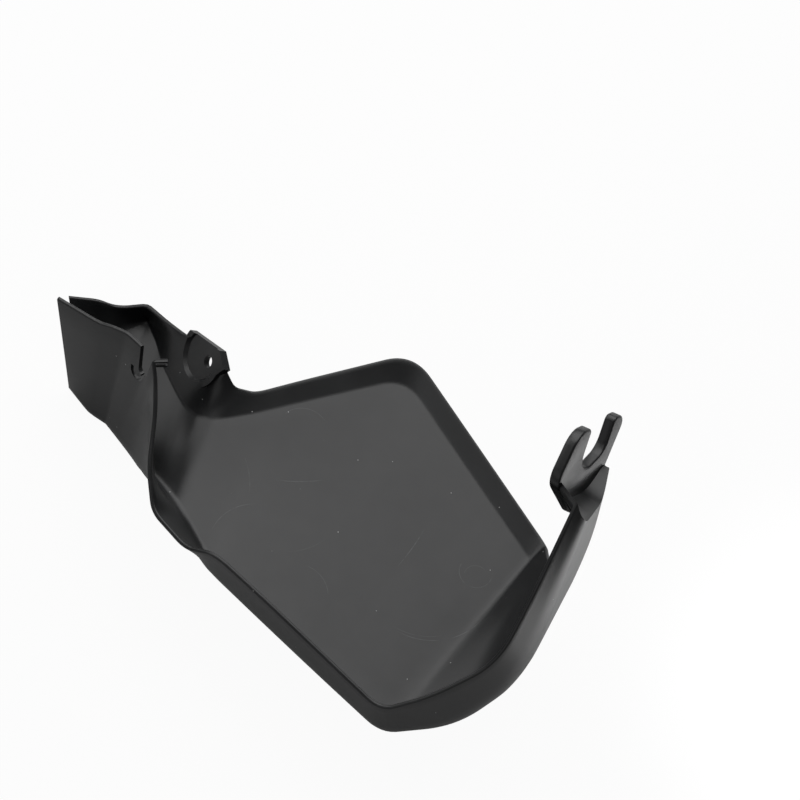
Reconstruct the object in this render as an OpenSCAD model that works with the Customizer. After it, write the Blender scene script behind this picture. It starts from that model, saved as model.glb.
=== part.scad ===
/* [Panel] */
// length of the straight lower wall, along X
panel_l = 118; // [90:1:150]
// depth of the panel, from the lower wall to the upper corner
panel_w = 157; // [120:1:190]
// height of the lower wall at the straight stretch
wall_h = 30; // [18:1:42]
// outward lean of the lower wall at its rim
wall_lean = 2; // [0:1:12]
// height of the shallow upper border
border_h = 4; // [2:0.5:10]
// width of the shallow upper border
border_w = 13; // [8:1:20]
// how far the middle of the panel bows outwards
panel_crown = 1.5; // [0:0.5:5]
// wall thickness of the moulding
skin_t = 2.8; // [2:0.1:4]

/* [Neck and socket] */
// length of the neck, from the panel to the inboard end
neck_l = 152; // [120:1:180]
// depth of the socket channel below the panel floor
socket_drop = 34; // [20:1:45]
// height of the socket rim above the panel floor
socket_rim_h = 37; // [25:1:50]
// width of the slot in the socket wall
slot_w = 7; // [4:0.5:10]
// depth of the slot in the socket wall
slot_d = 16; // [8:1:22]
// angle that one side of the slot flares out by
slot_flare = 20; // [0:1:30]
// width of the hooked groove beside the slot
groove_w = 2.2; // [1.4:0.2:3]
// distance from the slot to the groove's upright
groove_gap = 5.5; // [4:0.5:8]
// height of the groove's upright
groove_h = 8; // [5:0.5:10]
// length of each fin beside the slot
fin_l = 7; // [4:0.5:12]
// thickness of each fin
fin_t = 1.4; // [1:0.1:2.5]
// how far each fin stands in from the wall
fin_h = 4; // [2:0.5:8]
// distance between the two fins
fin_gap = 3.5; // [2.5:0.5:6]

/* [Bolt lug] */
// diameter of the bolt hole
bolt_d = 6.5; // [5:0.1:9]
// radius of the recessed face around the bolt hole
lug_r = 15; // [12:0.5:18]
// thickness of the lug at the hole
lug_t = 3.5; // [3:0.5:7]
// how far the face of the lug is set back behind the wall
lug_sink = 2; // [1:0.5:4]
// width of the slope around the recessed face of the lug
lug_slope = 2.5; // [1:0.5:4]
// width of the wall around the recessed face of the lug
lug_step = 2; // [1.6:0.2:4]
// distance from the middle of the recess to the slanted top edge of the lug
lug_top = 8; // [6:0.5:12]
// distance from the bolt hole to the lug's edge towards the panel
lug_rim = 11.5; // [8:0.5:14]

/* [Arm] */
// how far the knuckle of the arm stands outboard of the panel
arm_reach = 42; // [25:1:55]
// height of the knuckle ridge
knuckle_z = 32; // [20:1:45]
// height of the arm at its lower tip corner
arm_h = 118; // [90:1:140]

/* [Fork] */
// overall width of the fork
fork_w = 57; // [48:1:66]
// thickness of the fork plate
fork_t = 6; // [4:0.5:8]
// width of the open slot in the fork
fork_slot_w = 21; // [12:0.5:26]
// depth of the open slot in the fork
fork_slot_d = 23; // [16:1:30]

/* [Hidden] */
eps = 0.01;
bolt_r = bolt_d / 2;
steps = 7;

// a point part of the way from one point to another
function part_way(a, b, f) = a + (b - a) * f;
function unit(v) = v / norm(v);

// quadratic curve from a to c, drawn towards b
function bend(a, b, c, f) = part_way(part_way(a, b, f), part_way(b, c, f), f);

// Each station is one section of the sweep:
// [lower rim, lower fold, upper fold, upper rim], then how softly the sweep turns there
// (one share for all four, or one for each),
// the size of the two folds and the crown of the floor
stations = [
    // inboard end of the socket
    [[[-neck_l, -111, 26], [-neck_l + 28, -118, -socket_drop],
      [-neck_l + 12, -98, -socket_drop + 1], [-neck_l - 5, -90, -12]], 0.3, 4, 5, 0],
    [[[-127, -108, 31], [-109, -120, -socket_drop - 2],
      [-131, -81, -socket_drop + 6], [-144, -80, -11]], 0.3, 4, 4, 0],
    // dip in the upper rim of the socket
    [[[-120, -106, socket_rim_h - 2.5], [-105, -120, -socket_drop - 1],
      [-127, -72, -29], [-135, -73.5, -16]], 0.4, 4, 3, 0],
    // crease where the socket meets the neck
    [[[-111, -104, socket_rim_h], [-97, -120, -socket_drop + 1],
      [-122, -63, -28], [-125, -64, -12]], [0.2, 0.06, 0.06, 0.15], 5, 1.5, 0],
    [[[-94, -103, socket_rim_h + 1], [-85, -125, -27],
      [-109, -70, -26], [-111, -65.5, -6.5]], 0.25, 6, 1.5, 0],
    [[[-83, -112, socket_rim_h - 2], [-73, -130, -23],
      [-97, -79, -22], [-97, -66, -1.5]], 0.3, 9, 1.5, 0],
    // bolt lug
    [[[-70, -125, 29], [-61, -136, -17],
      [-84, -86, -18], [-78.5, -67, 13.5]], 0.4, 12, 1.5, 0],
    [[[-55, -145, 22], [-49, -138, -9],
      [-71, -92.5, -12.5], [-68.5, -72, 14]], 0.35, 12, 1.5, 0],
    // flared lower corner of the panel
    [[[-38, -159, 15], [-32, -141, -3],
      [-58, -95, -3], [-58, -72, 4]], 0.22, 10, 1.5, 0.3],
    [[[-13, -163, 19], [-8, -150, -2],
      [-44, -77, -1], [-49, -65, 2]], 0.25, 10, 1.5, 0.6],
    // start of the straight lower wall
    [[[2, -panel_w - wall_lean, wall_h], [3, -panel_w, 0],
      [-29, -51, 0], [-37, -43, border_h - 1]], 0.28, 10, 1.5, 1],
    // upper corner of the panel
    [[[40, -panel_w - wall_lean, wall_h], [40, -panel_w, -2],
      [0, 0, 0], [-border_w / 2, border_w - 1, border_h]], 0.25, 10, 1.5, 1],
    [[[80, -panel_w - wall_lean, wall_h - 2], [80, -panel_w, -3.5],
      [57, -14.5, 0], [55, -3.5, border_h]], 0.4, 10, 1.5, 0.8],
    // fold between the panel and the arm
    [[[panel_l, -panel_w - wall_lean, wall_h - 4], [panel_l + 6, -panel_w, -3],
      [panel_l - 4, -29, 0], [panel_l - 4, -18, border_h - 1]], [0.25, 0.2, 0.06, 0.15], 9, 1.5, 0],
    [[[panel_l + 15, -142, 42], [panel_l + 32, -133, 9],
      [panel_l + 8, -37, 13], [panel_l + 6, -31, 15]], 0.4, 12, 2, 0],
    // knuckle of the arm
    [[[panel_l + 29, -114, 63], [panel_l + arm_reach, -104, knuckle_z],
      [panel_l + 25, -48, 36], [panel_l + 21, -41, 43]], 0.4, 15, 3, 0],
    [[[panel_l + 20, -83, 88], [panel_l + 29, -75, 70],
      [panel_l + 17, -26, 56], [panel_l + 13, -20, 62]], 0.45, 14, 5, 0],
    // tip of the arm
    [[[panel_l + 6.5, -44, arm_h], [panel_l + 15, -45, arm_h - 10],
      [panel_l + 11, -16, arm_h - 35], [panel_l + 1.5, 1.5, arm_h - 37]], 0.3, 10, 12, 0]
];
last = len(stations) - 1;

// how softly point k of the section turns at station i
function softness(i, k) = i == 0 || i == last ? 0
    : is_list(stations[i][1]) ? stations[i][1][k] : stations[i][1];

// point k of the section at sweep position u, with the turns at the stations eased
function rail(k, u) =
    let (i = min(floor(u), last - 1), r = u - i,
         fi = softness(i, k), fj = softness(i + 1, k),
         p = stations[i][0][k], q = stations[i + 1][0][k])
    r < fi ? bend(part_way(p, stations[i - 1][0][k], fi), p, part_way(p, q, fi), (r + fi) / (2 * fi))
    : r > 1 - fj ? bend(part_way(q, p, fj), q, part_way(q, stations[i + 2][0][k], fj), (r - 1 + fj) / (2 * fj))
    : part_way(p, q, r);

// a plain value of the stations at sweep position u
function along(k, u) =
    let (i = min(floor(u), last - 1))
    stations[i][k] + (stations[i + 1][k] - stations[i][k]) * (u - i);

// the inner line of the section at sweep position u
function section(u) =
    let (rl = rail(0, u), fl = rail(1, u), fu = rail(2, u), ru = rail(3, u),
         mid = norm(fu - fl),
         dl = min(along(2, u), 0.45 * norm(rl - fl), 0.4 * mid) ,
         du = min(along(3, u), 0.45 * norm(ru - fu), 0.4 * mid),
         l0 = fl + dl * unit(rl - fl), l1 = fl + dl * unit(fu - fl),
         u0 = fu + du * unit(fl - fu), u1 = fu + du * unit(ru - fu),
         down = unit(cross(fu - fl, unit(rail(1, min(u + 0.1, last)) - rail(1, max(u - 0.1, 0))))),
         crown = panel_crown * along(4, u))
    concat(
        [for (j = [0 : 2]) part_way(rl, l0, j / 3)],
        [for (j = [0 : 4]) bend(l0, fl, l1, j / 4)],
        [for (j = [1 : 5]) part_way(l1, u0, j / 6) + down * crown * sin(180 * j / 6)],
        [for (j = [0 : 3]) bend(u0, fu, u1, j / 3)],
        [for (j = [1 : 3]) part_way(u1, ru, j / 3)]);

stops = [for (i = [0 : last - 1]) for (j = [0 : steps - 1]) i + j / steps];
inner = [for (u = stops) section(u), section(last)];
rows = len(inner);
cols = len(inner[0]);

// direction out of the hollow side at one point of the grid
function away(i, j) = unit(cross(
    inner[min(i + 1, rows - 1)][j] - inner[max(i - 1, 0)][j],
    inner[i][min(j + 1, cols - 1)] - inner[i][max(j - 1, 0)]));
outer = [for (i = [0 : rows - 1]) [for (j = [0 : cols - 1]) inner[i][j] - skin_t * away(i, j)]];

function flat(grid) = [for (row = grid) for (p = row) p];
function at(i, j) = i * cols + j;

// the moulded skin, from the socket through the panel to the tip of the arm
module skin() {
    n = rows * cols;
    top = [for (i = [0 : rows - 2]) for (j = [0 : cols - 2])
        each [[at(i, j), at(i, j + 1), at(i + 1, j + 1)], [at(i, j), at(i + 1, j + 1), at(i + 1, j)]]];
    under = [for (f = top) [f[0] + n, f[2] + n, f[1] + n]];
    sides = [for (i = [0 : rows - 2])
        each [[at(i, 0), at(i + 1, 0), at(i, 0) + n], [at(i + 1, 0), at(i + 1, 0) + n, at(i, 0) + n],
              [at(i, cols - 1), at(i, cols - 1) + n, at(i + 1, cols - 1)],
              [at(i + 1, cols - 1), at(i, cols - 1) + n, at(i + 1, cols - 1) + n]]];
    ends = [for (j = [0 : cols - 2])
        each [[at(0, j), at(0, j) + n, at(0, j + 1)], [at(0, j + 1), at(0, j) + n, at(0, j + 1) + n],
              [at(rows - 1, j), at(rows - 1, j + 1), at(rows - 1, j) + n],
              [at(rows - 1, j + 1), at(rows - 1, j + 1) + n, at(rows - 1, j) + n]]];
    polyhedron(points = concat(flat(inner), flat(outer)), faces = concat(top, under, sides, ends), convexity = 10);
}

// frame of the fork plate: across the two prongs, along them, and out of the plate
fork_root = [panel_l - 5, -18, arm_h - 16];
fork_out = unit([0.93, 0.18, 0.315]);
fork_across = unit(cross([-0.352, 0.666, 0.658], fork_out));
fork_along = cross(fork_out, fork_across);
prong_w = (fork_w - fork_slot_w) / 2;
fork_mid = 5;

// puts a child into a frame given by its origin and three directions
module place(o, x, y, z) {
    multmatrix([[x[0], y[0], z[0], o[0]], [x[1], y[1], z[1], o[1]], [x[2], y[2], z[2], o[2]], [0, 0, 0, 1]])
    children();
}

// open fork that slides over the fixing at the bar end
module fork() {
    place(fork_root, fork_across, fork_along, fork_out)
    translate([fork_mid, 0, -fork_t])
    difference() {
        union() {
            translate([-fork_w / 2, -18, 0])
            cube([fork_w, 18 + fork_slot_d - prong_w / 2 - 2, fork_t]);
            for (side = [-1, 1])
            translate([side * (fork_w - prong_w) / 2, fork_slot_d - prong_w / 2 - 2, 0])
            cylinder(h = fork_t, r = prong_w / 2, $fn = 40);
        }
        translate([0, fork_slot_w / 2 - 2, -1])
        cylinder(h = fork_t + 2, r = fork_slot_w / 2, $fn = 48);
        translate([-fork_slot_w / 2, fork_slot_w / 2 - 2, -1])
        cube([fork_slot_w, fork_slot_d + 10, fork_t + 2]);
    }
}

// ledge that closes the end of the arm and ties the fork plate to the skin
module cup_ledge() {
    rim = [for (j = [0 : cols - 1]) part_way(inner[rows - 1][j], outer[rows - 1][j], 0.5)];
    // the same points moved onto the middle of the fork plate
    foot = [for (p = rim)
        let (d = p - fork_root, x = d * fork_across, y = d * fork_along)
        fork_root + fork_across * max(min(x * 0.9 + 0.5, fork_mid + fork_w / 2 - 2), fork_mid - fork_w / 2 + 2)
            + fork_along * max(y + 2, -16) - fork_out * fork_t / 2];
    ledge_t = 3;
    top = concat(rim, foot);
    low = [for (p = top) p - fork_along * ledge_t];
    m = 2 * cols;
    polyhedron(
        points = concat(top, low),
        faces = concat(
            [for (j = [0 : cols - 2]) each [[j, j + cols, j + 1], [j + 1, j + cols, j + 1 + cols]]],
            [for (j = [0 : cols - 2]) each [[m + j, m + j + 1, m + j + cols], [m + j + 1, m + j + 1 + cols, m + j + cols]]],
            [for (j = [0 : cols - 2]) each [[j, j + 1, m + j], [j + 1, m + j + 1, m + j]]],
            [for (j = [cols : 2 * cols - 2]) each [[j, m + j, j + 1], [j + 1, m + j, m + j + 1]]],
            [[0, m, cols], [cols, m, m + cols], [cols - 1, 2 * cols - 1, m + cols - 1],
             [2 * cols - 1, m + 2 * cols - 1, m + cols - 1]]),
        convexity = 6);
}

// frame of the bolt lug: the hole centre on the face of the wall, and the hole's direction
lug_at = [-78.6, -73.6, 6.2];
lug_in = unit([-0.52, -0.71, 0.475]);
lug_up = unit([0, 0, 1] - lug_in[2] * lug_in);
lug_side = cross(lug_up, lug_in);

// stands a child on the lug, its Z along the hole towards the hollow side
module on_lug() {
    place(lug_at, lug_side, lug_up, lug_in)
    children();
}

// middle of the round recess, seen from the bolt hole
recess_mid = [-5, -3, 0];

// round lug on the outside of the wall, cut off along the rim
module lug() {
    lug_h = lug_t + lug_sink - 1;
    cut = 2 * lug_r;
    on_lug()
    translate([0, 0, -lug_sink - lug_t])
    difference() {
        union() {
            translate(recess_mid)
            cylinder(h = lug_h, r = lug_r + lug_step, $fn = 64);
            translate([recess_mid[0], 0, 0])
            cube([lug_r, lug_rim, lug_h]);
        }
        // slanted top edge
        translate([recess_mid[0], recess_mid[1], -1])
        rotate([0, 0, 42])
        translate([-cut, lug_top, 0])
        cube([2 * cut, cut, lug_h + 2]);
        // edge towards the panel
        translate([-cut, lug_rim, -1])
        cube([2 * cut, cut, lug_h + 2]);
    }
}

// frame of the slot in the socket wall: along the wall, through it, and up it
slot_at = [-91, -109, socket_rim_h - slot_d + 1];
slot_up = unit([-0.34, 0.27, 0.9]);
slot_through = unit(cross(slot_up, [0.98, -0.2, 0]));
slot_along = cross(slot_through, slot_up);

// puts a child at the foot of the slot, its X along the wall, its Y up and its Z through
module on_slot() {
    place(slot_at, slot_along, slot_up, -slot_through)
    children();
}

// hooked slot, open at the rim, with the narrow groove beside it
module hooked_slot() {
    groove_x = slot_w / 2 + groove_gap;
    deep = 6 * skin_t;
    high = slot_d + slot_w;
    on_slot()
    translate([0, 0, -deep / 2]) {
        translate([0, slot_w / 2, 0]) {
            cylinder(h = deep, r = slot_w / 2, $fn = 36);
            translate([-slot_w / 2, 0, 0])
            cube([slot_w, high, deep]);
            // flared side of the slot
            rotate([0, 0, -slot_flare])
            translate([-slot_w / 2, 0, 0])
            cube([slot_w, high, deep]);
        }
        translate([-groove_x, 0.5, 0])
        cube([groove_x, groove_w, deep]);
        translate([-groove_x, 0.5 + groove_w / 2, 0])
        cylinder(h = deep, r = groove_w / 2, $fn = 24);
        translate([-groove_x - groove_w / 2, 0.5 + groove_w / 2, 0])
        cube([groove_w, groove_h, deep]);
    }
}

// two thin fins on the inner side of the wall, beside the slot
module fins() {
    for (k = [0, 1])
    on_slot()
    translate([slot_w / 2 + 0.5, slot_d - 3 - fin_gap * k, -fin_h])
    cube([fin_l, fin_t, fin_h + skin_t / 2]);
}

// the part's origin: the middle of the bolt hole
hole_mid = lug_at - lug_in * (lug_sink + lug_t / 2);

module hand_guard() {
    color([0.06, 0.06, 0.065])
    translate(-hole_mid)
    difference() {
        union() {
            skin();
            fork();
            cup_ledge();
            lug();
            fins();
        }
        // recessed face of the lug
        on_lug()
        translate(recess_mid - [0, 0, lug_sink]) {
            cylinder(h = lug_slope, r1 = lug_r - lug_slope, r2 = lug_r, $fn = 64);
            translate([0, 0, lug_slope])
            cylinder(h = 2 * lug_r, r = lug_r, $fn = 64);
        }
        on_lug()
        translate([0, 0, -2 * (lug_sink + lug_t)])
        cylinder(h = 4 * (lug_sink + lug_t), r = bolt_r, $fn = 48);
        hooked_slot();
    }
}

hand_guard();
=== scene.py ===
# %% [markdown]
# # A moulded hand guard
# The guard is one black plastic moulding: a shallow panel in front of the
# hand, a channel that leads to the bolt, and an arm that rises to an open
# fork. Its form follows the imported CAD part. This notebook sweeps the moulding
# again with finer rows and rounded rims, and gives it a worn satin finish, a
# pale floor, lamps and a camera.

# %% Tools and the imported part
import math

import bmesh
import bpy
from mathutils import Matrix, Vector
from mathutils.geometry import convex_hull_2d


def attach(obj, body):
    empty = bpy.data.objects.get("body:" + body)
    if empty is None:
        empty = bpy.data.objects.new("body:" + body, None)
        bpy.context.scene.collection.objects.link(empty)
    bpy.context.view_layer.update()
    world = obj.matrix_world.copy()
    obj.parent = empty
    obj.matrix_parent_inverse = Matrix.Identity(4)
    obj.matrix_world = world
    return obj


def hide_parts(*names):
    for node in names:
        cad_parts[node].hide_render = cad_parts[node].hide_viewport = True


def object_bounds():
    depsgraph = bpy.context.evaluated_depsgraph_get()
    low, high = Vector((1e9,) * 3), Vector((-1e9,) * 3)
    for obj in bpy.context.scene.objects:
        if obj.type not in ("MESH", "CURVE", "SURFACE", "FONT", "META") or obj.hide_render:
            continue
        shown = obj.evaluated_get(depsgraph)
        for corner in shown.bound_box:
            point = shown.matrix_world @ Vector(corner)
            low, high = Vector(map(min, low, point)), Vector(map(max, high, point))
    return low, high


MM = 0.001
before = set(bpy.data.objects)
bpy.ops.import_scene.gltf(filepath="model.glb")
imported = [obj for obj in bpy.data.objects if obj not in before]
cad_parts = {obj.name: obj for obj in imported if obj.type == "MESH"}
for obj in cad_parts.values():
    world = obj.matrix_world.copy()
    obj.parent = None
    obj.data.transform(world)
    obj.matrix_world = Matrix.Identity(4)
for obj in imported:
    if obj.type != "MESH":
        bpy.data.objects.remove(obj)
cad_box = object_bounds()
low, high = cad_box
middle = (low + high) / 2
print("CAD box in mm:", [round(x / MM, 1) for x in high - low])

# %% [markdown]
# ## How the moulding is made
# The real guard is one injection moulding of even thickness, open on the side
# of the hand. It could be boxes joined together, or a mesh pushed about by
# hand. Here it is a sweep, because that is what keeps the wall even: a section
# of two rims and two folds travels from the socket to the tip of the arm. The
# fork, the lug and the fins are then joined to it, and the slot and the hole
# are cut. All of it is worked out in millimetres, from the upper corner of the
# panel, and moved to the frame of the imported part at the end.

# %% Driving sizes in millimetres
PANEL_L = 118
PANEL_W = 157
WALL_H = 30
WALL_LEAN = 2
BORDER_H = 4
BORDER_W = 13
CROWN = 1.5
SKIN_T = 2.4
NECK_L = 152
SOCKET_DROP = 34
SOCKET_RIM_H = 37
ARM_REACH = 42
KNUCKLE_Z = 32
ARM_H = 118
print("panel in mm:", PANEL_L, "by", PANEL_W)

# %% [markdown]
# ## The sections
# A section says where the moulding's two rims and two folds lie at one place
# along it. They could all be worked out from the panel's size, but the neck
# and the arm of the real guard follow no simple rule, so each section is
# listed one by one, and those that the panel, the socket and the arm drive take
# their places from the sizes above.

# %% The sections that the sweep passes through
# Each has its lower rim, lower fold, upper fold and upper rim, then how softly
# each of them turns there, the size of the two folds, and the floor's crown.
STATIONS = [
    # inboard end of the socket
    (
        (-NECK_L, -111, 26),
        (28 - NECK_L, -118, -SOCKET_DROP),
        (12 - NECK_L, -98, 1 - SOCKET_DROP),
        (-NECK_L - 5, -90, -14),
        (0, 0, 0, 0),
        (4, 5, 0),
    ),
    (
        (-127, -108, 31),
        (-109, -120, -SOCKET_DROP - 2),
        (-131, -81, 6 - SOCKET_DROP),
        (-144, -80, -13),
        (0.3, 0.3, 0.3, 0.3),
        (4, 4, 0),
    ),
    # dip in the upper rim of the socket
    (
        (-120, -106, SOCKET_RIM_H - 2.5),
        (-105, -120, -SOCKET_DROP - 1),
        (-127, -72, -29),
        (-135, -73.5, -18),
        (0.4, 0.4, 0.4, 0.4),
        (4, 3, 0),
    ),
    # crease where the socket meets the neck
    (
        (-111, -104, SOCKET_RIM_H),
        (-97, -120, 1 - SOCKET_DROP),
        (-122, -63, -28),
        (-125, -64, -14),
        (0.2, 0.06, 0.06, 0.15),
        (5, 1.5, 0),
    ),
    (
        (-92, -105.7, SOCKET_RIM_H + 3.4),
        (-85, -125, -27),
        (-109, -70, -26),
        (-111, -65.5, -8.5),
        (0.12, 0.25, 0.25, 0.25),
        (6, 1.5, 0),
    ),
    (
        (-83, -112, SOCKET_RIM_H - 2),
        (-73, -130, -23),
        (-97, -79, -22),
        (-97, -66, -3),
        (0.3, 0.3, 0.3, 0.3),
        (9, 1.5, 0),
    ),
    # bolt lug
    (
        (-70, -125, 29),
        (-61, -136, -17),
        (-84, -86, -18),
        (-78.5, -67, 13.5),
        (0.4, 0.4, 0.4, 0.4),
        (12, 1.5, 0),
    ),
    (
        (-55, -145, 22),
        (-49, -138, -9),
        (-71, -92.5, -12.5),
        (-68.5, -72, 14),
        (0.35, 0.45, 0.45, 0.35),
        (8, 1.5, 0),
    ),
    # flared lower corner of the panel
    (
        (-38, -159, 15),
        (-32, -141, -3),
        (-58, -95, -3),
        (-58, -72, 4),
        (0.22, 0.35, 0.5, 0.22),
        (5, 1.5, 0.3),
    ),
    (
        (-13, -163, 19),
        (-8, -150, -2),
        (-44, -77, -1),
        (-49, -65, 2),
        (0.25, 0.3, 0.45, 0.25),
        (4, 1.5, 0.6),
    ),
    # start of the straight lower wall
    (
        (2, -PANEL_W - WALL_LEAN, WALL_H),
        (3, -PANEL_W, 0),
        (-29, -51, 0),
        (-37, -43, BORDER_H - 1),
        (0.28, 0.28, 0.28, 0.28),
        (10, 1.5, 1),
    ),
    # upper corner of the panel
    (
        (40, -PANEL_W - WALL_LEAN, WALL_H),
        (40, -PANEL_W, -2),
        (0, 0, 0),
        (-BORDER_W / 2, BORDER_W - 1, BORDER_H),
        (0.25, 0.25, 0.25, 0.25),
        (10, 1.5, 1),
    ),
    (
        (80, -PANEL_W - WALL_LEAN, WALL_H - 2),
        (80, -PANEL_W, -3.5),
        (57, -14.5, 0),
        (55, -3.5, BORDER_H),
        (0.4, 0.4, 0.4, 0.4),
        (10, 1.5, 0.8),
    ),
    # fold between the panel and the arm
    (
        (PANEL_L, -PANEL_W - WALL_LEAN, WALL_H - 4),
        (PANEL_L + 6, -PANEL_W, -3),
        (PANEL_L - 4, -29, 0),
        (PANEL_L - 4, -18, BORDER_H - 1),
        (0.25, 0.2, 0.06, 0.15),
        (9, 1.5, 0),
    ),
    (
        (PANEL_L + 15, -142, 42),
        (PANEL_L + 32, -133, 9),
        (PANEL_L + 8, -37, 13),
        (PANEL_L + 6, -31, 15),
        (0.4, 0.4, 0.4, 0.4),
        (12, 2, 0),
    ),
    # knuckle of the arm
    (
        (PANEL_L + 29, -114, 63),
        (PANEL_L + ARM_REACH, -104, KNUCKLE_Z),
        (PANEL_L + 25, -48, 36),
        (PANEL_L + 21, -41, 43),
        (0.4, 0.4, 0.4, 0.4),
        (15, 3, 0),
    ),
    (
        (PANEL_L + 20, -83, 88),
        (PANEL_L + 29, -75, 70),
        (PANEL_L + 17, -26, 56),
        (PANEL_L + 13, -20, 62),
        (0.45, 0.45, 0.45, 0.45),
        (14, 5, 0),
    ),
    # tip of the arm
    (
        (PANEL_L + 6.5, -44, ARM_H),
        (PANEL_L + 15, -45, ARM_H - 10),
        (PANEL_L + 9.5, -17, ARM_H - 35.5),
        (PANEL_L - 0.5, 0.5, ARM_H - 38),
        (0, 0, 0, 0),
        (10, 12, 0),
    ),
]
LAST = len(STATIONS) - 1
print("sections:", len(STATIONS))

# %% [markdown]
# ## The four rails
# Each rim and each fold is a rail through its points in all the sections. A
# rail of straight lines would leave a hard corner at every section, and one
# smooth curve would lose the creases that the real guard has. So each rail is
# straight between its points, with a short quadratic curve at each of them.
# How far the curve reaches is the softness that the section states.

# %% Rails and their eased turns


def part_way(start, end, share):
    return start + (end - start) * share


def bend(start, corner, end, share):
    """A quadratic curve from start to end, drawn towards the corner."""
    first = part_way(start, corner, share)
    second = part_way(corner, end, share)
    return part_way(first, second, share)


def rail_point(station, rail):
    return Vector(STATIONS[station][rail])


def rail_at(rail, travel):
    """A rail's place at a travel of 0 to LAST along the sweep."""
    i = min(int(travel), LAST - 1)
    rest = travel - i
    here = rail_point(i, rail)
    there = rail_point(i + 1, rail)
    soft_here = STATIONS[i][4][rail]
    soft_there = STATIONS[i + 1][4][rail]
    if rest < soft_here:
        start = part_way(here, rail_point(i - 1, rail), soft_here)
        end = part_way(here, there, soft_here)
        return bend(start, here, end, (rest + soft_here) / (2 * soft_here))
    if rest > 1 - soft_there:
        start = part_way(there, here, soft_there)
        end = part_way(there, rail_point(i + 2, rail), soft_there)
        return bend(start, there, end, (rest - 1 + soft_there) / (2 * soft_there))
    return part_way(here, there, rest)


def size_at(index, travel):
    """One of a section's three plain values, between its sections."""
    i = min(int(travel), LAST - 1)
    return part_way(STATIONS[i][5][index], STATIONS[i + 1][5][index], travel - i)


print("lower rim starts at", tuple(rail_at(0, 0)), "and ends at", tuple(rail_at(0, LAST)))

# %% [markdown]
# ## One section
# The line of a section runs down the lower wall, round its fold, across the
# crowned floor, round the upper fold and up the other wall. The folds are
# curves of a set size, kept smaller than the walls that they join.

# %% The inner line of a section
WALL_STEPS = 4
LOWER_FOLD_STEPS = 8
FLOOR_STEPS = 10
UPPER_FOLD_STEPS = 6
FOLD_PER_WALL = 0.45
FOLD_PER_FLOOR = 0.4
LOOK_AHEAD = 0.1


def shares(first, last, count):
    return [i / count for i in range(first, last + 1)]


def floor_normal(travel, lower_fold, upper_fold):
    before = rail_at(1, max(travel - LOOK_AHEAD, 0))
    after = rail_at(1, min(travel + LOOK_AHEAD, LAST))
    ahead = after - before
    return (upper_fold - lower_fold).cross(ahead.normalized()).normalized()


def fold_size(index, travel, wall, floor):
    """How far a fold reaches, kept well inside its wall and its floor."""
    return min(size_at(index, travel), FOLD_PER_WALL * wall, FOLD_PER_FLOOR * floor)


def section_line(travel):
    """The points of the hollow side's line, from the lower rim to the upper rim."""
    lower_rim, lower_fold, upper_fold, upper_rim = (rail_at(k, travel) for k in range(4))
    floor = (upper_fold - lower_fold).length
    lower_wall = (lower_rim - lower_fold).length
    upper_wall = (upper_rim - upper_fold).length
    lower_size = fold_size(0, travel, lower_wall, floor)
    upper_size = fold_size(1, travel, upper_wall, floor)
    across = (upper_fold - lower_fold).normalized()
    wall_foot = lower_fold + lower_size * (lower_rim - lower_fold).normalized()
    floor_start = lower_fold + lower_size * across
    floor_end = upper_fold - upper_size * across
    upper_foot = upper_fold + upper_size * (upper_rim - upper_fold).normalized()
    crown = CROWN * size_at(2, travel) * floor_normal(travel, lower_fold, upper_fold)
    line = []
    for s in shares(0, WALL_STEPS - 1, WALL_STEPS):
        line.append(part_way(lower_rim, wall_foot, s))
    for s in shares(0, LOWER_FOLD_STEPS, LOWER_FOLD_STEPS):
        line.append(bend(wall_foot, lower_fold, floor_start, s))
    for s in shares(1, FLOOR_STEPS - 1, FLOOR_STEPS):
        line.append(part_way(floor_start, floor_end, s) + crown * math.sin(math.pi * s))
    for s in shares(0, UPPER_FOLD_STEPS, UPPER_FOLD_STEPS):
        line.append(bend(floor_end, upper_fold, upper_foot, s))
    for s in shares(1, WALL_STEPS, WALL_STEPS):
        line.append(part_way(upper_foot, upper_rim, s))
    return line


print("points in a section:", len(section_line(0)))

# %% [markdown]
# ## Both faces of the skin
# The hollow side is the form that the tool gives, and the outer side lies one
# wall away from it everywhere. A Solidify modifier could add that wall, but
# its rims would be square. Here the second face is worked out row by row, so
# that the rims can be rounded as the rows are closed.

# %% Rows of both faces
ROW_GAP = 2.2
MIN_STEPS = 6


def sweep_stops():
    """Where the sweep is cut into rows, about as far apart along every stretch."""
    stops = []
    for i in range(LAST):
        longest = max((rail_point(i + 1, k) - rail_point(i, k)).length for k in range(4))
        steps = max(MIN_STEPS, round(longest / ROW_GAP))
        stops += [i + j / steps for j in range(steps)]
    return stops + [LAST]


inner = [section_line(travel) for travel in sweep_stops()]
ROWS = len(inner)
COLUMNS = len(inner[0])


def out_of_hollow(i, j):
    """The direction that the hollow side faces at one point of the grid."""
    ahead = inner[min(i + 1, ROWS - 1)][j] - inner[max(i - 1, 0)][j]
    across = inner[i][min(j + 1, COLUMNS - 1)] - inner[i][max(j - 1, 0)]
    return ahead.cross(across).normalized()


outer = [[inner[i][j] - SKIN_T * out_of_hollow(i, j) for j in range(COLUMNS)] for i in range(ROWS)]
print("rows and columns:", ROWS, COLUMNS)

# %% [markdown]
# ## Rounded rims
# A moulding has no knife edges: the tool leaves a small radius on each rim,
# and that radius is what catches the light as a thin line. Each row of the
# skin is a closed loop, down one face and back up the other, and its two ends
# turn over from face to face in a quarter circle each way.

# %% The skin as one closed mesh
RIM_RADIUS = 0.9
RIM_ANGLES = [math.radians(a) for a in (90, 60, 30, 0)]


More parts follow.
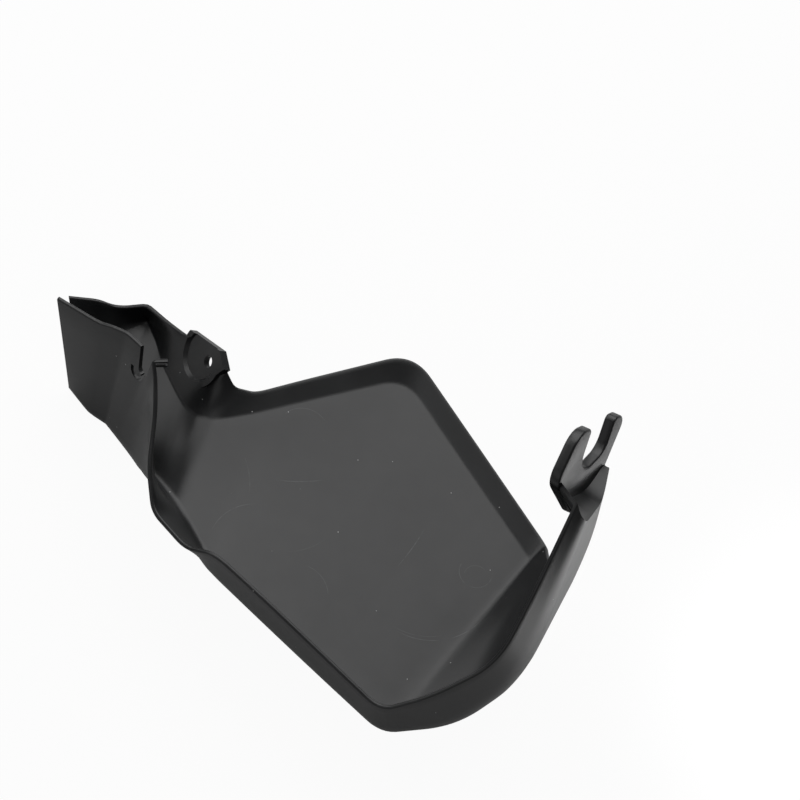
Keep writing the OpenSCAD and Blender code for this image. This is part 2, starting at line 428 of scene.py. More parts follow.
def make_solid(name, points, faces):
    """A closed mesh object, its faces turned outwards."""
    mesh = bpy.data.meshes.new(name)
    mesh.from_pydata([tuple(p) for p in points], [], faces)
    bm = bmesh.new()
    bm.from_mesh(mesh)
    bmesh.ops.recalc_face_normals(bm, faces=bm.faces)
    bm.to_mesh(mesh)
    bm.free()
    piece = bpy.data.objects.new(name, mesh)
    bpy.context.scene.collection.objects.link(piece)
    return piece


def turned_rim(edge, before, facing):
    """Points of the quarter circle at a line's end, from its top to the line."""
    up = (edge - before).normalized()
    side = (facing - edge).normalized()
    centre = edge + (side - up) * RIM_RADIUS
    return [centre + (up * math.sin(a) - side * math.cos(a)) * RIM_RADIUS for a in RIM_ANGLES]


def face_line(line, facing):
    """One face's line, with its two ends turned over towards the facing line."""
    first = turned_rim(line[0], line[1], facing[0])
    last = turned_rim(line[-1], line[-2], facing[-1])
    return first + line[1:-1] + last[::-1]


def make_skin():
    """Both faces and both rims as rings of quads, with the two ends closed."""
    loops = [face_line(a, b) + face_line(b, a)[::-1] for a, b in zip(inner, outer)]
    size = len(loops[0])
    faces = []
    for i in range(ROWS - 1):
        for j in range(size):
            k = (j + 1) % size
            faces.append((i * size + j, i * size + k, (i + 1) * size + k, (i + 1) * size + j))
    for start in (0, (ROWS - 1) * size):
        for j in range(size // 2 - 1):
            near = start + j
            far = start + size - 1 - j
            faces.append((near, near + 1, far - 1, far))
    return make_solid("skin", [p for loop in loops for p in loop], faces)


skin = make_skin()
print("faces in the skin:", len(skin.data.polygons))

# %% [markdown]
# ## Helpers for the parts on the skin
# The fork, the lug and the cuts are flat outlines given a depth. Each is a
# closed solid, so that it can be joined or cut with a boolean, which keeps the
# true corner where two forms meet. A small bevel on a part before it is joined
# gives it the same soft rims as the skin.

# %% Outlines, prisms and turned solids
TURN_STEPS = 64


def arc(x, y, radius, start=0.0, end=360.0, count=48):
    """Points on an arc, with both ends."""
    angles = [math.radians(part_way(start, end, s)) for s in shares(0, count, count)]
    return [(x + radius * math.cos(a), y + radius * math.sin(a)) for a in angles]


def box_outline(x0, y0, x1, y1):
    return [(x0, y0), (x1, y0), (x1, y1), (x0, y1)]


def hull(points):
    """The outline of a band stretched round the points, anticlockwise."""
    return [points[i] for i in convex_hull_2d([Vector(p) for p in points])]


def frame_of(origin, x, y, z):
    axes = Matrix((x, y, z)).transposed().to_4x4()
    return Matrix.Translation(Vector(origin)) @ axes


def prism(outline, bottom, top, place):
    """A straight-sided solid over an outline."""
    count = len(outline)
    points = [place @ Vector((x, y, z)) for z in (bottom, top) for x, y in outline]
    sides = [(i, (i + 1) % count, count + (i + 1) % count, count + i) for i in range(count)]
    ends = [tuple(range(count)), tuple(range(count, 2 * count))]
    return make_solid("prism", points, ends + sides)


def turned(rings, place):
    """A solid turned about Z from rings of height and radius."""
    count = TURN_STEPS
    angles = [2 * math.pi * i / count for i in range(count)]
    points = [place @ Vector((r * math.cos(a), r * math.sin(a), h)) for h, r in rings for a in angles]
    faces = [tuple(range(count)), tuple(range((len(rings) - 1) * count, len(rings) * count))]
    for level in range(len(rings) - 1):
        for i in range(count):
            j = (i + 1) % count
            base = level * count
            faces.append((base + i, base + j, base + count + j, base + count + i))
    return make_solid("turned", points, faces)


print("prism and turned solids are ready")

# %% Booleans
# how far a cutting shape reaches past what it cuts
OVERCUT = 1


def keep_modified(piece):
    """Turns the result of a piece's modifiers into its mesh."""
    seen = piece.evaluated_get(bpy.context.evaluated_depsgraph_get())
    mesh = bpy.data.meshes.new_from_object(seen)
    piece.modifiers.clear()
    piece.data = mesh


def combine(piece, tool, operation):
    """Joins a closed solid to a piece or cuts it away, and removes the solid."""
    step = piece.modifiers.new("boolean", "BOOLEAN")
    step.solver = "MANIFOLD"
    step.operation = operation
    step.object = tool
    keep_modified(piece)
    bpy.data.objects.remove(tool)


print("joining and cutting are ready")

# %% Rounded corners and edges
WELD = 0.001
FLAT_ANGLE = math.radians(0.5)
SAME_WAY = 0.99
CORNER_ANGLE = 0.6
CORNER_STEPS = 6
EDGE_ANGLE = math.radians(40)
EDGE_STEPS = 3


def flat_faces_joined(bm):
    """Joins the triangles of a flat face, so that a bevel runs evenly round it."""
    bmesh.ops.remove_doubles(bm, verts=bm.verts, dist=WELD)
    bmesh.ops.dissolve_limit(bm, angle_limit=FLAT_ANGLE, verts=bm.verts, edges=bm.edges)


def is_corner(edge, axis):
    """Whether an edge runs along the axis, with a clear turn over it."""
    way = (edge.verts[1].co - edge.verts[0].co).normalized()
    return abs(way.dot(axis)) > SAME_WAY and edge.is_manifold and edge.calc_face_angle() > CORNER_ANGLE


def round_corners(piece, axis, radius):
    """Rounds the corners of a plate's outline, which run along the axis."""
    bm = bmesh.new()
    bm.from_mesh(piece.data)
    flat_faces_joined(bm)
    corners = [edge for edge in bm.edges if is_corner(edge, axis)]
    bmesh.ops.bevel(
        bm,
        geom=corners,
        offset=radius,
        offset_type="OFFSET",
        segments=CORNER_STEPS,
        profile=0.5,
        affect="EDGES",
    )
    bm.to_mesh(piece.data)
    bm.free()
    return len(corners)


def round_edges(piece, radius):
    bevel = piece.modifiers.new("edge radius", "BEVEL")
    bevel.limit_method = "ANGLE"
    bevel.angle_limit = EDGE_ANGLE
    bevel.width = radius
    bevel.segments = EDGE_STEPS
    keep_modified(piece)


print("corner and edge helpers are ready")

# %% [markdown]
# ## The fork
# The fork slides over the fixing at the bar's end. It is a flat plate with a
# broad rounded prong and a narrow one. A band round five discs gives its
# outline, and a band round two discs and two far corners gives its slot, which
# widens to one side.

# %% Fork plate
FORK_ROOT = Vector((PANEL_L - 5, -18, ARM_H - 16))
FORK_OUT = Vector((0.93, 0.18, 0.315)).normalized()
FORK_ACROSS = Vector((-0.352, 0.666, 0.658)).cross(FORK_OUT).normalized()
FORK_ALONG = FORK_OUT.cross(FORK_ACROSS)
FORK_MID = 5
FORK_W = 62
FORK_T = 6
FORK_CORNER_R = 3.2
FORK_EDGE_R = 1.1
FORK_SLOT_W = 21
FORK_SLOT_D = 23
FORK_SLOT_SINK = 2
FORK_SLOT_OVER = 10
FORK_MOUTH = 7
FORK_FOOT = 26
FORK_LEFT = -FORK_W / 2 - 2.2
FORK_RIGHT = FORK_W / 2 - 1
TIP_R = 6
SHOULDER_R = 13
HIP_R = 10
FOOT_R = 14
FORK_DISCS = [
    # middle across, middle along, radius
    (FORK_LEFT + SHOULDER_R + 4, FORK_SLOT_D - SHOULDER_R - 2, SHOULDER_R),
    (FORK_RIGHT - TIP_R, FORK_SLOT_D - TIP_R + 1, TIP_R),
    (FORK_LEFT + HIP_R, -2.5, HIP_R),
    (5, FOOT_R - 2 - FORK_FOOT, FOOT_R),
    (FORK_RIGHT - 13.5, -3, 9),
]


def fork_outline():
    """A band stretched round the five discs."""
    return hull([point for disc in FORK_DISCS for point in arc(*disc)])


def fork_slot_outline():
    """A round foot that widens towards the mouth, past the tips of the prongs."""
    radius = FORK_SLOT_W / 2
    foot = radius - FORK_SLOT_SINK
    top = foot + FORK_SLOT_D + FORK_SLOT_OVER
    return hull(
        arc(0, foot, radius)
        + arc(FORK_MOUTH, foot + FORK_MOUTH / 2, radius)
        + [(-radius, top), (radius + FORK_MOUTH, top)]
    )


fork_place = frame_of(FORK_ROOT, FORK_ACROSS, FORK_ALONG, FORK_OUT)
fork_place = fork_place @ Matrix.Translation((FORK_MID, 0, -FORK_T))
fork = prism(fork_outline(), 0, FORK_T, fork_place)
fork_cut = prism(fork_slot_outline(), -OVERCUT, FORK_T + OVERCUT, fork_place)
combine(fork, fork_cut, "DIFFERENCE")
print("fork corners rounded:", round_corners(fork, FORK_OUT, FORK_CORNER_R))
round_edges(fork, FORK_EDGE_R)
print("fork plate faces:", len(fork.data.polygons))

# %% [markdown]
# ## The ledge
# A ledge closes the end of the arm and ties the fork to it. One side follows
# the end of the skin, and the other side is the same points moved onto the
# middle of the fork plate, kept inside the plate's outline.

# %% Ledge
LEDGE_T = 3
LEDGE_SHARE = 0.4
LEDGE_INSET = 2
LEDGE_SQUEEZE = 0.9
LEDGE_SHIFT = 0.5
LEDGE_RISE = 2
LEDGE_START = -5
LEDGE_SLANT = 0.62
LEDGE_CLEAR = 10


def ledge_foot(point):
    """A point of the arm's end, moved onto the middle of the fork plate."""
    away = point - FORK_ROOT
    half = FORK_W / 2 - LEDGE_INSET
    x = away.dot(FORK_ACROSS) * LEDGE_SQUEEZE + LEDGE_SHIFT
    y = away.dot(FORK_ALONG) + LEDGE_RISE
    lowest = LEDGE_START - LEDGE_SLANT * (x - FORK_MID + half)
    x = max(min(x, FORK_MID + half), FORK_MID - half)
    y = max(y, lowest, LEDGE_CLEAR - FORK_FOOT)
    return FORK_ROOT + FORK_ACROSS * x + FORK_ALONG * y - FORK_OUT * FORK_T / 2


def make_ledge():
    down = FORK_ALONG * LEDGE_T
    rim = [part_way(a, b, LEDGE_SHARE) for a, b in zip(inner[-1], outer[-1])]
    foot = [ledge_foot(point) for point in rim]
    rows = [rim, foot, [p - down for p in foot], [p - down for p in rim]]
    count = len(rim)
    faces = []
    for side in range(4):
        here = side * count
        there = (side + 1) % 4 * count
        for j in range(count - 1):
            faces.append((here + j, here + j + 1, there + j + 1))
            faces.append((here + j, there + j + 1, there + j))
    for end in (0, count - 1):
        faces.append(tuple(side * count + end for side in range(4)))
    return make_solid("ledge", [p for row in rows for p in row], faces)


ledge = make_ledge()
print("ledge faces:", len(ledge.data.polygons))

# %% [markdown]
# ## The bolt lug
# The bolt clamps the guard through a round pad on the neck's wall. The pad's
# top edge is cut on a slant and its edge towards the panel is straight. From
# the hollow side its face is a shallow round recess with a sloping border.

# %% Lug
LUG_AT = Vector((-78.6, -73.6, 6.2))
LUG_IN = Vector((-0.52, -0.71, 0.475)).normalized()
LUG_UP = (Vector((0, 0, 1)) - LUG_IN.z * LUG_IN).normalized()
LUG_R = 15
LUG_T = 3.5
LUG_SINK = 2
LUG_SLOPE = 2.5
LUG_STEP = 2
LUG_TOP = 8
LUG_TOP_SLANT = 42
LUG_RIM = 11.5
LUG_BURIED = 1
LUG_EDGE_R = 0.6
LUG_ARC_STEP = 3
RECESS_X = -5
RECESS_Y = -3
BOLT_R = 3.25

lug_place = frame_of(LUG_AT, LUG_UP.cross(LUG_IN), LUG_UP, LUG_IN)
recess_place = lug_place @ Matrix.Translation((RECESS_X, RECESS_Y, -LUG_SINK))


def round_pad(bottom, top):
    """A disc, whose last point lies one step short of its first."""
    end = 360 - LUG_ARC_STEP
    circle = arc(RECESS_X, RECESS_Y, LUG_R + LUG_STEP, 0, end, end // LUG_ARC_STEP)
    return prism(circle, bottom, top, lug_place)


def make_lug():
    """A round pad with one square corner, cut along its rim and on a slant."""
    bottom = -LUG_SINK - LUG_T
    top = -LUG_BURIED
    cut = 2 * LUG_R
    pad = round_pad(bottom, top)
    corner = box_outline(RECESS_X, 0, RECESS_X + LUG_R, LUG_RIM)
    combine(pad, prism(corner, bottom, top, lug_place), "UNION")
    slant = Matrix.Rotation(math.radians(LUG_TOP_SLANT), 4, "Z")
    slant_place = lug_place @ (Matrix.Translation((RECESS_X, RECESS_Y, 0)) @ slant)
    above = box_outline(-cut, LUG_TOP, cut, LUG_TOP + cut)
    beyond = box_outline(-cut, LUG_RIM, cut, LUG_RIM + cut)
    for outline, place in ((above, slant_place), (beyond, lug_place)):
        combine(pad, prism(outline, bottom - OVERCUT, top + OVERCUT, place), "DIFFERENCE")
    round_edges(pad, LUG_EDGE_R)
    return pad


lug = make_lug()
print("lug faces:", len(lug.data.polygons))

# %% [markdown]
# ## The slot and its fins
# The slot in the socket's wall takes a clip, and the hooked groove beside it
# lets the strip between them give way. Two thin fins stand on the inner side
# of the wall, turned a little away from the slot, with their roots inside the
# wall. The slot's frame runs along the wall, up it and through it, so that
# the outlines of the cuts stay flat drawings.

# %% Slot, hooked groove and fins
SLOT_W = 7
SLOT_D = 14
SLOT_FLARE = math.radians(13)
GROOVE_W = 2.2
GROOVE_GAP = 4.5
GROOVE_H = 2
FIN_W = 2.5
FIN_T = 1.2
FIN_L = 5
FIN_TURN = math.radians(35)
FIN_GAP = 2.6
FIN_TOP = 12.6
FIN_ROOT = 2.6
FIN_EDGE_R = 0.25
HOOK_STEPS = 24
CUT_DEPTH = 6 * SKIN_T

SLOT_AT = Vector((-90.9, -108.3, SOCKET_RIM_H - SLOT_D + 1.5))
SLOT_UP = Vector((-0.34, 0.27, 0.9)).normalized()
SLOT_THROUGH = SLOT_UP.cross(Vector((0.98, -0.2, 0))).normalized()
slot_place = frame_of(SLOT_AT, SLOT_THROUGH.cross(SLOT_UP), SLOT_UP, -SLOT_THROUGH)


def slot_outline():
    """A round foot, one upright side and one that flares out."""
    half = SLOT_W / 2
    top = SLOT_D + SLOT_W
    flared_x = half * math.cos(SLOT_FLARE) + top * math.sin(SLOT_FLARE)
    flared_y = half + top * math.cos(SLOT_FLARE) - half * math.sin(SLOT_FLARE)
    return hull(arc(0, half, half) + [(-half, half + top), (flared_x, flared_y)])


def hook_outline():
    """Half a ring under two short uprights."""
    radius = (SLOT_W / 2 + GROOVE_GAP) / 2
    half = GROOVE_W / 2
    return [
        (-2 * radius - half, GROOVE_H),
        *arc(-radius, 0, radius + half, 180, 360, HOOK_STEPS),
        (half, GROOVE_H),
        (-half, GROOVE_H),
        *arc(-radius, 0, radius - half, 360, 180, HOOK_STEPS),
        (half - 2 * radius, GROOVE_H),
    ]


def make_fin(number):
    """A thin plate at the slot's flared side, each one lower than the last."""
    half = SLOT_W / 2
    beside = half / math.cos(SLOT_FLARE) + (FIN_TOP - half) * math.tan(SLOT_FLARE)
    height = FIN_TOP - FIN_GAP * number - FIN_T / 2
    turn = Matrix.Rotation(-FIN_TURN, 4, "Y")
    place = slot_place @ Matrix.Translation((beside, height, 0)) @ turn
    fin = prism(box_outline(0, 0, FIN_W, FIN_T), -FIN_L, FIN_ROOT, place)
    round_edges(fin, FIN_EDGE_R)
    return fin


print("slot in mm:", SLOT_W, "by", SLOT_D)

# %% [markdown]
# ## One solid
# The real guard came out of its mould in one piece, so its parts become one
# mesh. They could just overlap, but then one would stick through the other's
# wall. Everything is joined first, and the recess, the hole, the slot and the
# groove are cut last, so that each cut also goes through what was joined on.

# %% Join the parts and make the cuts
for part in (fork, ledge, lug, make_fin(0), make_fin(1)):
    combine(skin, part, "UNION")
recess = [(0, LUG_R - LUG_SLOPE), (LUG_SLOPE, LUG_R), (LUG_SLOPE + 2 * LUG_R, LUG_R)]
combine(skin, turned(recess, recess_place), "DIFFERENCE")
bore_reach = 2 * (LUG_SINK + LUG_T)
bore = [(-bore_reach, BOLT_R), (bore_reach, BOLT_R)]
combine(skin, turned(bore, lug_place), "DIFFERENCE")
for outline in (slot_outline(), hook_outline()):
    combine(skin, prism(outline, -CUT_DEPTH / 2, CUT_DEPTH / 2, slot_place), "DIFFERENCE")
print("faces in the joined moulding:", len(skin.data.polygons))

# %% [markdown]
# ## Into the frame of the imported part
# The imported part's origin is the middle of its bolt hole, and it is in
# metres. The mesh is moved and scaled there, its soft folds are shaded smooth,
# and its real corners stay crisp. The imported node is hidden, and the piece
# takes its place.

# %% The finished moulding
SHARP_ANGLE = math.radians(34)
MELT = 0.004 * MM
HOLE_MID = LUG_AT - LUG_IN * (LUG_SINK + LUG_T / 2)


def crisp_and_smooth(mesh):
    """Shades the soft folds smooth and the corners crisp, and counts open edges."""
    bm = bmesh.new()
    bm.from_mesh(mesh)
    bmesh.ops.remove_doubles(bm, verts=bm.verts, dist=MELT)
    for face in bm.faces:
        face.smooth = True
    for edge in bm.edges:
        edge.smooth = edge.calc_face_angle(0) < SHARP_ANGLE
    open_edges = sum(not edge.is_manifold for edge in bm.edges)
    bm.to_mesh(mesh)
    bm.free()
    return open_edges


guard = skin
guard.name = "hand_guard_moulding"
guard.data.transform(Matrix.Scale(MM, 4) @ Matrix.Translation(-HOLE_MID))
print("open edges:", crisp_and_smooth(guard.data))
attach(guard, "root")
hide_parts("hand_guard")
print("moulding:", len(guard.data.vertices), "points,", len(guard.data.polygons), "faces")

# %% [markdown]
# ## Shader maths as plain expressions
# A finish is easier to read as a formula than as a web of nodes. The class
# below wraps one socket, so that adding or multiplying two wrapped values
# adds the Math node that does it. Every other node comes from `node`.

# %% A wrapped socket


class Value:
    """One number in a node tree, with the operators used here."""

    def __init__(self, paint, socket):
        self.paint = paint
        self.socket = socket

    def _math(self, operation, *others):
        return self.paint.math(operation, self, *others)

    def __add__(self, other):
        return self._math("ADD", other)

    __radd__ = __add__

    def __sub__(self, other):
        return self._math("SUBTRACT", other)

    def __rsub__(self, other):
        return self.paint.math("SUBTRACT", other, self)

    def __mul__(self, other):
        return self._math("MULTIPLY", other)

    __rmul__ = __mul__

    def __pow__(self, other):
        return self._math("POWER", other)

    def __abs__(self):
        return self._math("ABSOLUTE")

    def greater(self, other):
        return self._math("GREATER_THAN", other)

    def clamped(self):
        return self.paint.math("ADD", self, 0.0, clamp=True)

    def ramp(self, start, end):
        """0 at start and 1 at end, clamped and eased between them."""
        made = self.paint.node(
            "ShaderNodeMapRange",
            {"interpolation_type": "SMOOTHSTEP"},
            {"Value": self, "From Min": start, "From Max": end},
        )
        return Value(self.paint, made.outputs["Result"])


print("a wrapped socket can be added, scaled, eased and clamped")

# %% The node tree of a material or a world


class Paint:
    """The node tree of a material or a world, and the one method that adds nodes to it."""

    def __init__(self, owner):
        self.owner = owner
        owner.use_nodes = True
        self.tree = owner.node_tree
        self.tree.nodes.clear()

    def node(self, kind, settings=None, inputs=None):
        made = self.tree.nodes.new(kind)
        for key, value in (settings or {}).items():
            setattr(made, key, value)
        for key, value in (inputs or {}).items():
            self.connect(value, made.inputs[key])
        return made

    def connect(self, value, socket):
        if isinstance(value, Value):
            value = value.socket
        if isinstance(value, bpy.types.NodeSocket):
            self.tree.links.new(value, socket)
        else:
            socket.default_value = value

    def math(self, operation, *values, clamp=False):
        settings = {"operation": operation, "use_clamp": clamp}
        made = self.node("ShaderNodeMath", settings, dict(enumerate(values)))
        return Value(self, made.outputs[0])

    def mix_colour(self, amount, first, second):
        """The first colour at an amount of 0, and the second at 1."""
        sockets = {"Factor": amount, 6: first, 7: second}
        return self.node("ShaderNodeMix", {"data_type": "RGBA"}, sockets).outputs[2]

    def noise(self, place, scale, detail, roughness):
        made = self.node(
            "ShaderNodeTexNoise",
            None,
            {"Vector": place, "Scale": scale, "Detail": detail, "Roughness": roughness},
        )
        return Value(self, made.outputs["Fac"])

    def finish(self, kind, shader):
        """Links a shader's socket to the tree's output node."""
        self.node(kind, None, {0: shader})


print("the shader helpers are ready")

# %% [markdown]
# ## Worn satin plastic
# Black moulded plastic is almost black by itself, and what the eye sees is
# the sheen of the room in it. So the colour stays dark and nearly flat, and
# the finish is in the roughness: a fine moulded grain, hazy patches where
# hands have rubbed it, long faint scuffs on the open panel, and some dust.

# %% The colours, and the grain of the surface
PLASTIC = (0.0098, 0.0102, 0.0108, 1.0)
HAZE = (0.0165, 0.0172, 0.0178, 1.0)
SCUFF = (0.24, 0.25, 0.25, 1.0)
DUST = (0.80, 0.80, 0.80, 1.0)
PER_MM = 1 / MM
# scale per mm, detail and roughness of each noise
GRAIN = (2.6, 3.0, 0.6)
PATCHES = (0.035, 4.0, 0.55)
SMUDGES = (0.11, 3.0, 0.6)

paint = Paint(bpy.data.materials.new("satin_black_plastic"))
on_guard = paint.node("ShaderNodeTexCoord").outputs["Object"]
in_mm = paint.node(
    "ShaderNodeVectorMath", {"operation": "SCALE"}, {0: on_guard, "Scale": PER_MM}
).outputs[0]
parts = paint.node("ShaderNodeSeparateXYZ", None, {0: in_mm})
across, along = (Value(paint, parts.outputs[axis]) for axis in "XY")
grain = paint.noise(in_mm, *GRAIN)
patches = paint.noise(in_mm, *PATCHES)
smudges = paint.noise(in_mm, *SMUDGES)
print("grain, patches and smudges are in millimetres")

# %% [markdown]
# ## Scuffs and dust
# A scuff is a faint arc, drawn by whatever rubbed past. Each is a thin band
# round a circle, cut to one side of it, and broken up by noise. The dust is
# the centres of a cell pattern, kept in only a few of its cells. A painted
# picture could show both, but a formula needs no file and stays sharp.

# %% Scuff arcs on the open panel
SCUFF_WIDTH = 0.4
SCUFF_FADE = 0.15
BROKEN_FROM = 0.36
BROKEN_TO = 0.62
SCUFFS = [
    # middle across, middle along, radius, direction kept, share kept, strength
    (175.4, 15.9, 8.7, -0.9, -0.5, 0.2),
    (177.0, 14.0, 6.2, 2.4, 0.3, 0.12),
    (24.5, -17.0, 120.0, 0.18, 0.991, 0.42),
    (160.0, -3.7, 35.4, -0.66, 0.75, 0.22),
    (159.0, -5.0, 33.0, -0.9, 0.84, 0.12),
    (88.0, -58.0, 26.0, 2.9, 0.8, 0.2),
    (74.0, -24.0, 34.0, -0.5, 0.9, 0.14),
    (60.0, 8.0, 14.0, 2.2, 0.6, 0.14),
    (30.0, -60.0, 40.0, 0.9, 0.93, 0.2),
    (118.0, -60.0, 16.0, 1.4, 0.75, 0.16),
    (20.0, 40.0, 78.0, -0.75, 0.985, 0.28),
]


def scuff(centre_x, centre_y, radius, direction, kept, strength):
    """1 on a thin arc, fading out at its ends."""
    dx = across - centre_x
    dy = along - centre_y
    distance = (dx * dx + dy * dy) ** 0.5
    band = 1 - abs(distance - radius).ramp(0.0, SCUFF_WIDTH)
    facing = (dx * math.cos(direction) + dy * math.sin(direction)) * (1 / radius)
    return band * facing.ramp(kept, min(kept + SCUFF_FADE, 1.0)) * strength


broken = smudges.ramp(BROKEN_FROM, BROKEN_TO)
scuffs = sum((scuff(*row) for row in SCUFFS), start=0 * across).clamped() * broken
print("scuffs:", len(SCUFFS))

# %% Dust specks
SPECK_CELLS = 0.3
SPECK_SIZE = 0.1
SPECK_CORE = 0.5
SPECK_CHOSEN_ABOVE = 0.962

cells = paint.node(
    "ShaderNodeTexVoronoi",
    {"feature": "F1"},
    {"Vector": in_mm, "Scale": SPECK_CELLS, "Randomness": 1.0},
)
chosen = paint.node("ShaderNodeSeparateColor", None, {0: cells.outputs["Color"]})
from_middle = Value(paint, cells.outputs["Distance"])
speck = 1 - from_middle.ramp(SPECK_SIZE * SPECK_CORE, SPECK_SIZE)
dust = speck * Value(paint, chosen.outputs[0]).greater(SPECK_CHOSEN_ABOVE)
print("cells per mm for the dust:", SPECK_CELLS)

# %% [markdown]
# ## The finish put together
# The colours are laid over each other from the plastic up: haze, scuffs and
# then dust. The roughness is what makes the sheen uneven, as on a part that
# has been handled, and the grain is a very slight bump, because a moulded
# texture is felt more than it is seen.

# %% Put the finish together
BASE_ROUGHNESS = 0.31
HAZE_FROM = 0.38
HAZE_TO = 0.7
HAZE_SHARE = 0.6
SCUFF_SHARE = 0.8
DUST_SHARE = 0.7
PATCH_ROUGHNESS = 0.10
SMUDGE_ROUGHNESS = 0.06
SCUFF_ROUGHNESS = 0.12
NOISE_MIDDLE = 0.5
SMUDGE_HEIGHT = 0.5
BUMP_STRENGTH = 0.05
BUMP_HEIGHT = 0.1 * MM

haze = patches.ramp(HAZE_FROM, HAZE_TO)
body_colour = paint.mix_colour(haze * HAZE_SHARE, PLASTIC, HAZE)
scuffed = paint.mix_colour(scuffs * SCUFF_SHARE, body_colour, SCUFF)
dusty = paint.mix_colour(dust * DUST_SHARE, scuffed, DUST)
roughness = (
    BASE_ROUGHNESS
    + (patches - NOISE_MIDDLE) * PATCH_ROUGHNESS
    + (smudges - NOISE_MIDDLE) * SMUDGE_ROUGHNESS
    + scuffs * SCUFF_ROUGHNESS
)
bump = paint.node(
    "ShaderNodeBump",
    None,
    {
        "Strength": BUMP_STRENGTH,
        "Distance": BUMP_HEIGHT,
        "Height": grain + smudges * SMUDGE_HEIGHT,
    },
)
shader = paint.node(
    "ShaderNodeBsdfPrincipled",
    None,
    {
        "Base Color": dusty,
        "Roughness": roughness,
        "IOR": 1.5,
        "Normal": bump.outputs[0],
    },
)
paint.finish("ShaderNodeOutputMaterial", shader.outputs[0])
guard.data.materials.clear()
guard.data.materials.append(paint.owner)
print("base roughness:", BASE_ROUGHNESS)

# %% [markdown]
# ## A pale floor
# The guard lies on its outer face on a plain white sheet. The sheet is white
# to the camera whatever the light does, so part of its shader is a plain
# emission. Mirrored and see-through rays meet some of that emission too, and
# the rest of the sheet keeps the guard's soft shadow.

# %% The floor
FLOOR_SIZE = 6.0
FLOOR_CELLS = 8
FLOOR_DROP = 0.2 * MM
FLOOR_COLOUR = (0.78, 0.78, 0.78, 1.0)
WHITE = (1.0, 1.0, 1.0, 1.0)
SEEN_SHARE = 0.95
MIRRORED_SHARE = 0.06


def make_floor(height):
    """A square sheet, cut into a grid so that it has shape of its own."""
    bm = bmesh.new()
    bmesh.ops.create_grid(bm, x_segments=FLOOR_CELLS, y_segments=FLOOR_CELLS, size=FLOOR_SIZE / 2)
    mesh = bpy.data.meshes.new("floor_sheet")
    bm.to_mesh(mesh)
    bm.free()
    sheet = bpy.data.objects.new("floor_sheet", mesh)
    sheet.location = (middle.x, middle.y, height)
    bpy.context.scene.collection.objects.link(sheet)
    return sheet


sheet = make_floor(low.z - FLOOR_DROP)
white = Paint(bpy.data.materials.new("white_sheet"))
ray = white.node("ShaderNodeLightPath")
seen = Value(white, ray.outputs["Is Camera Ray"]) * SEEN_SHARE
mirrored = Value(white, ray.outputs["Is Glossy Ray"]) * MIRRORED_SHARE
through = Value(white, ray.outputs["Is Transmission Ray"]) * SEEN_SHARE
matt = white.node("ShaderNodeBsdfDiffuse", None, {"Color": FLOOR_COLOUR})
glow = white.node("ShaderNodeEmission", None, {"Color": WHITE, "Strength": 1.0})
glowing = (seen + mirrored + through).clamped()
blend = white.node(
    "ShaderNodeMixShader", None, {0: glowing, 1: matt.outputs[0], 2: glow.outputs[0]}
)
white.finish("ShaderNodeOutputMaterial", blend.outputs[0])
sheet.data.materials.append(white.owner)
print("floor at z in mm:", round(sheet.location.z / MM, 1))

# %% [markdown]
# ## Light
# Satin black shows its lamps more than its colour, so the lamps are placed by
# what each face of the guard mirrors towards the camera. The broad back lamp
# is what the flat panel mirrors, and the sloped borders look past it into the
# dim room. That is what draws the dark band round the light panel. The left
# lamp is for the slope of the neck and the inside of the arm, and the top lamp
# for the border that runs to the arm. The far and front lamps are faint, and
# keep the lug, the knuckle and the guard's back from going black.

# %% Soft lamps
LAMP_DISTANCE = 1.2
LAMPS = [
    # name, direction, width, height, level
    ("back_lamp", (-0.22, 0.52, 0.82), 1.25, 0.85, 2.2),
    ("left_lamp", (-0.808, -0.02, 0.588), 0.85, 0.85, 1.35),
    ("top_lamp", (-0.3, -0.14, 0.94), 0.4, 0.4, 0.85),
    ("front_lamp", (-0.1, -0.82, 0.5), 1.4, 0.8, 0.38),
    ("far_lamp", (-0.5, 0.75, 0.43), 1.2, 0.5, 1.6),
]


def soft_lamp(name, direction, size_x, size_y, level):
    """An area lamp in a direction from the middle of the guard, facing it.

    The level is how bright its face looks, where a white sheet in full light is 1.
    """
    data = bpy.data.lights.new(name, "AREA")
    data.shape = "RECTANGLE"
    data.size = size_x
    data.size_y = size_y
    data.energy = level * math.pi * size_x * size_y
    lamp = bpy.data.objects.new(name, data)
    away = Vector(direction).normalized()
    lamp.location = middle + away * LAMP_DISTANCE
    lamp.rotation_mode = "QUATERNION"
    lamp.rotation_quaternion = away.to_track_quat("Z", "Y")
    bpy.context.scene.collection.objects.link(lamp)
    return lamp


for row in LAMPS:
    soft_lamp(*row)
print("soft lamps:", len(LAMPS))

# %% [markdown]
# ## A pool of light on the sheet
# The face of the fork and the outer side of the arm mirror the sheet beside
# the guard. A spot straight above that place lights the sheet and misses the
# guard. More light on the whole scene would show there too, but it would wash
# out the dark borders.

# %% The lamp over the sheet
POOL_AT = Vector((0.37, 0.13, low.z))
POOL_HEIGHT = 0.55
POOL_POWER = 19
POOL_RADIUS = 0.03
POOL_CONE = math.radians(30)
POOL_BLEND = 0.9

pool_data = bpy.data.lights.new("floor_lamp", "SPOT")
pool_data.energy = POOL_POWER
pool_data.shadow_soft_size = POOL_RADIUS
pool_data.spot_size = POOL_CONE
pool_data.spot_blend = POOL_BLEND
pool = bpy.data.objects.new("floor_lamp", pool_data)
pool.location = POOL_AT + Vector((0, 0, POOL_HEIGHT))
bpy.context.scene.collection.objects.link(pool)
print("pool of light on the sheet at", [round(x, 2) for x in POOL_AT])

# %% [markdown]
# ## The room
# The world stands for the room: dim to the guard, so that its folds stay
# dark, and white to the camera, which sees it past the edge of the sheet.

# %% A dim world that the camera sees as white
ROOM_LEVEL = 0.11

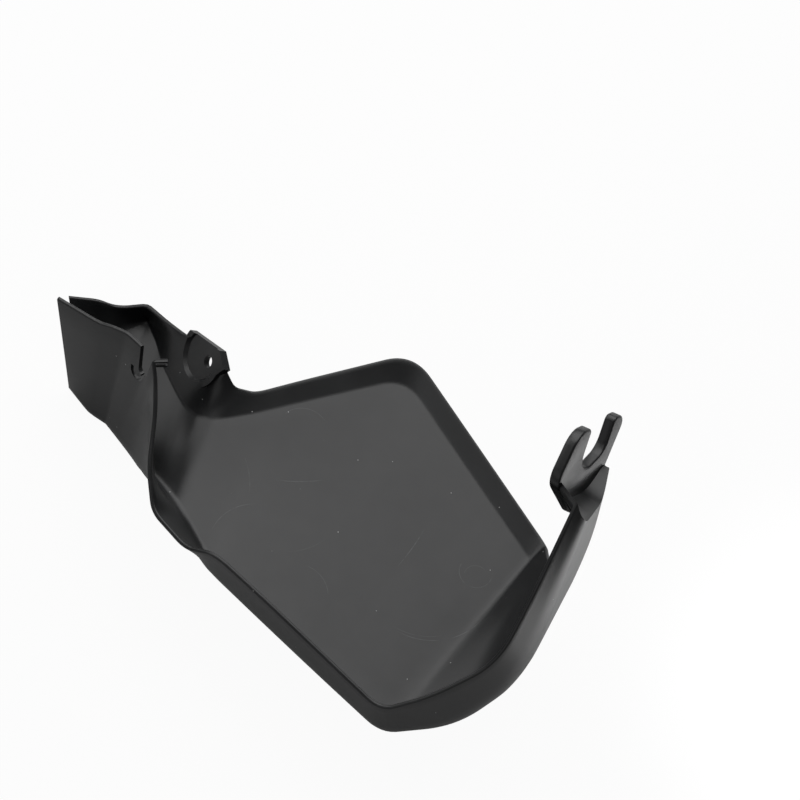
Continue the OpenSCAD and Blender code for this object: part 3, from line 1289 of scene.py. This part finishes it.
world = bpy.data.worlds.new("dim_room")
bpy.context.scene.world = world
room = Paint(world)
dim = room.node("ShaderNodeBackground", None, {"Color": WHITE, "Strength": ROOM_LEVEL})
bright = room.node("ShaderNodeBackground", None, {"Color": WHITE, "Strength": 1.0})
straight = room.node("ShaderNodeLightPath").outputs["Is Camera Ray"]
choose = room.node(
    "ShaderNodeMixShader", None, {0: straight, 1: dim.outputs[0], 2: bright.outputs[0]}
)
room.finish("ShaderNodeOutputWorld", choose.outputs[0])
print("light of the room:", ROOM_LEVEL)

# %% [markdown]
# ## Camera
# The photograph was taken from well away, so that lines that are parallel on
# the guard stay parallel in it. Its picture axes, worked out from straight
# edges of known direction, give the camera's turn, and one known point, the
# bolt hole, gives its place.

# %% Camera
PICTURE = 800
PIXELS_PER_METRE = 1950.0
PICTURE_RIGHT = Vector((1.4268, 1.277, 0.369)).normalized()
PICTURE_DOWN = Vector((1.2971, -1.2193, -0.7958)).normalized()
BOLT_HOLE_PIXEL = (208.0, 361.4)
CAMERA_DISTANCE = 3.6
CLIP_END = 50
SENSOR = 36.0

camera_data = bpy.data.cameras.new("camera")
camera_data.sensor_width = SENSOR
camera_data.lens = SENSOR * CAMERA_DISTANCE * PIXELS_PER_METRE / PICTURE
camera_data.clip_end = CLIP_END
camera = bpy.data.objects.new("camera", camera_data)
bpy.context.scene.collection.objects.link(camera)
right = PICTURE_RIGHT
upward = (-PICTURE_DOWN - right * right.dot(-PICTURE_DOWN)).normalized()
back = right.cross(upward)
from_hole_x = (PICTURE / 2 - BOLT_HOLE_PIXEL[0]) / PIXELS_PER_METRE
from_hole_y = (PICTURE / 2 - BOLT_HOLE_PIXEL[1]) / PIXELS_PER_METRE
aim = right * from_hole_x - upward * from_hole_y
aim += back * (middle - aim).dot(back)
camera.matrix_world = frame_of(aim + back * CAMERA_DISTANCE, right, upward, back)
bpy.context.scene.camera = camera
bpy.context.scene.view_settings.view_transform = "Standard"
print("lens in mm:", round(camera_data.lens, 1))
